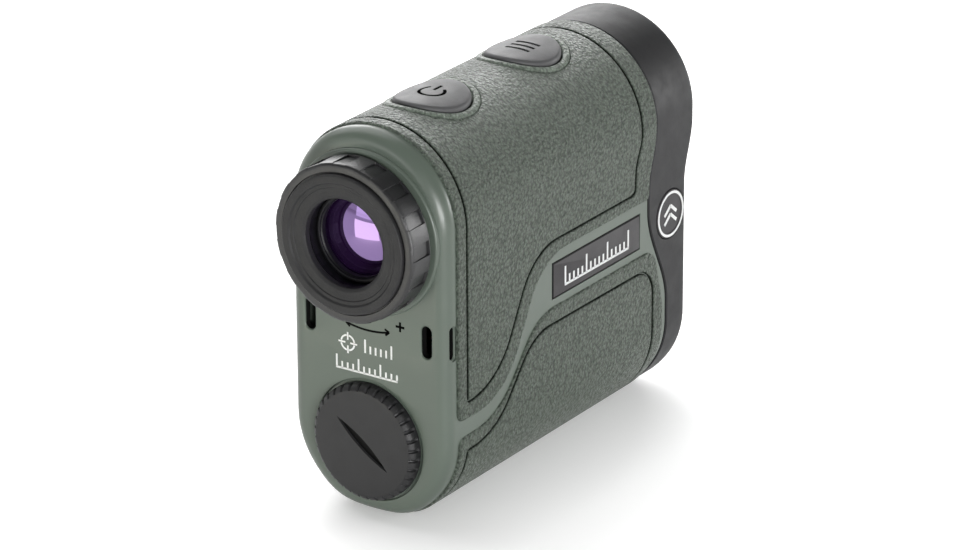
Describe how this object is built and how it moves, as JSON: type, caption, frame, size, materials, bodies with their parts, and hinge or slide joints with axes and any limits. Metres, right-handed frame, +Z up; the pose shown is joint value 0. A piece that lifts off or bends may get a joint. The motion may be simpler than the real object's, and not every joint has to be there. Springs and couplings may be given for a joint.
{
  "type": "laser rangefinder",
  "caption": "Upright pocket laser rangefinder with a ribbed focusing eyepiece, rubber armour, top buttons and a coin-slot battery cap.",
  "frame": {"origin": "under the middle of the object, on the surface it stands on", "axes": "+Z up, +Y to the front where the objective is, +X to the right as the user holds it, with the eyepiece at -Y"},
  "size_m": [0.0352, 0.0916, 0.0755],
  "materials": {
    "green_shell": "satin moulded plastic",
    "green_armour": "leather-grained rubber",
    "charcoal_plastic": "fine matte",
    "black_plastic": "satin",
    "black_rubber": "matte rubber",
    "grey_trim": "fine matte",
    "coated_glass": "multi-coated",
    "clear_glass": "polished",
    "steel": "plated",
    "contact_brass": "plated contact",
    "circuit_board": "solder mask",
    "battery_jacket": "shrink sleeve"
  },
  "bodies": {
    "body": {"main_housing": "green_shell", "upper_armour": "green_armour", "lower_armour": "green_armour", "front_bezel": "charcoal_plastic", "nameplate_right": "grey_trim", "nameplate_left": "grey_trim", "badge_right": "grey_trim", "badge_left": "grey_trim", "bezel_screw_right": "steel", "bezel_screw_left": "steel", "front_frame": "black_plastic", "frame_screw_1": "steel", "frame_screw_2": "steel", "frame_screw_3": "steel", "frame_screw_4": "steel", "power_switch": "steel", "mode_switch": "steel", "button_board": "circuit_board", "eyepiece_barrel": "black_plastic", "lcd_display": "clear_glass", "display_frame": "black_plastic", "prism_holder": "black_plastic", "prism_cover": "black_plastic", "half_penta_prism": "clear_glass", "schmidt_prism": "clear_glass", "receiver_board": "circuit_board", "receiver_sensor": "contact_brass", "objective_barrel": "black_plastic", "objective_lens": "coated_glass", "objective_retainer": "black_plastic", "laser_barrel": "black_plastic", "laser_lens": "coated_glass", "laser_retainer": "black_plastic", "laser_diode": "contact_brass", "laser_board": "circuit_board", "main_board": "circuit_board", "processor_chip": "black_plastic", "battery_tube": "black_plastic", "battery": "battery_jacket", "positive_contact": "contact_brass"},
    "power_button": {"power_button": "grey_trim"},
    "mode_button": {"mode_button": "grey_trim"},
    "ocular": {"ocular_cell": "black_plastic", "eye_lens": "coated_glass", "field_lens": "coated_glass", "ocular_retainer": "black_plastic"},
    "focus_ring": {"diopter_ring": "black_plastic", "eyecup": "black_rubber"},
    "cap_inner": {"cap_contact": "contact_brass", "cap_spring": "steel"},
    "cap": {"battery_cap": "charcoal_plastic", "cap_seal": "black_rubber"}
  },
  "joints": [
    {"name": "power_press", "type": "slide", "parent": "body", "child": "power_button", "axis": [0, 0, -1], "range_m": [0, 0.0005], "stiffness_N_per_m": 3000},
    {"name": "mode_press", "type": "slide", "parent": "body", "child": "mode_button", "axis": [0, 0, -1], "range_m": [0, 0.0005], "stiffness_N_per_m": 3000},
    {"name": "focus_travel", "type": "slide", "parent": "body", "child": "ocular", "axis": [0, -1, 0], "range_m": [-0.00058, 0.00058]},
    {"name": "focus_turn", "type": "hinge", "parent": "ocular", "child": "focus_ring", "pos_m": [0, -0.04, 0.0552], "axis": [0, -1, 0], "range_deg": [-140, 140]},
    {"name": "cap_travel", "type": "slide", "parent": "body", "child": "cap_inner", "axis": [0, -1, 0], "range_m": [0, 0.00374]},
    {"name": "cap_turn", "type": "hinge", "parent": "cap_inner", "child": "cap", "pos_m": [0, -0.0395, 0.0148], "axis": [0, -1, 0], "range_deg": [0, 900]}
  ],
  "couplings": [
    {"joint": "focus_turn", "follows": "focus_travel", "rad_per_m": 4188.8},
    {"joint": "cap_turn", "follows": "cap_travel", "rad_per_m": 4188.8}
  ]
}
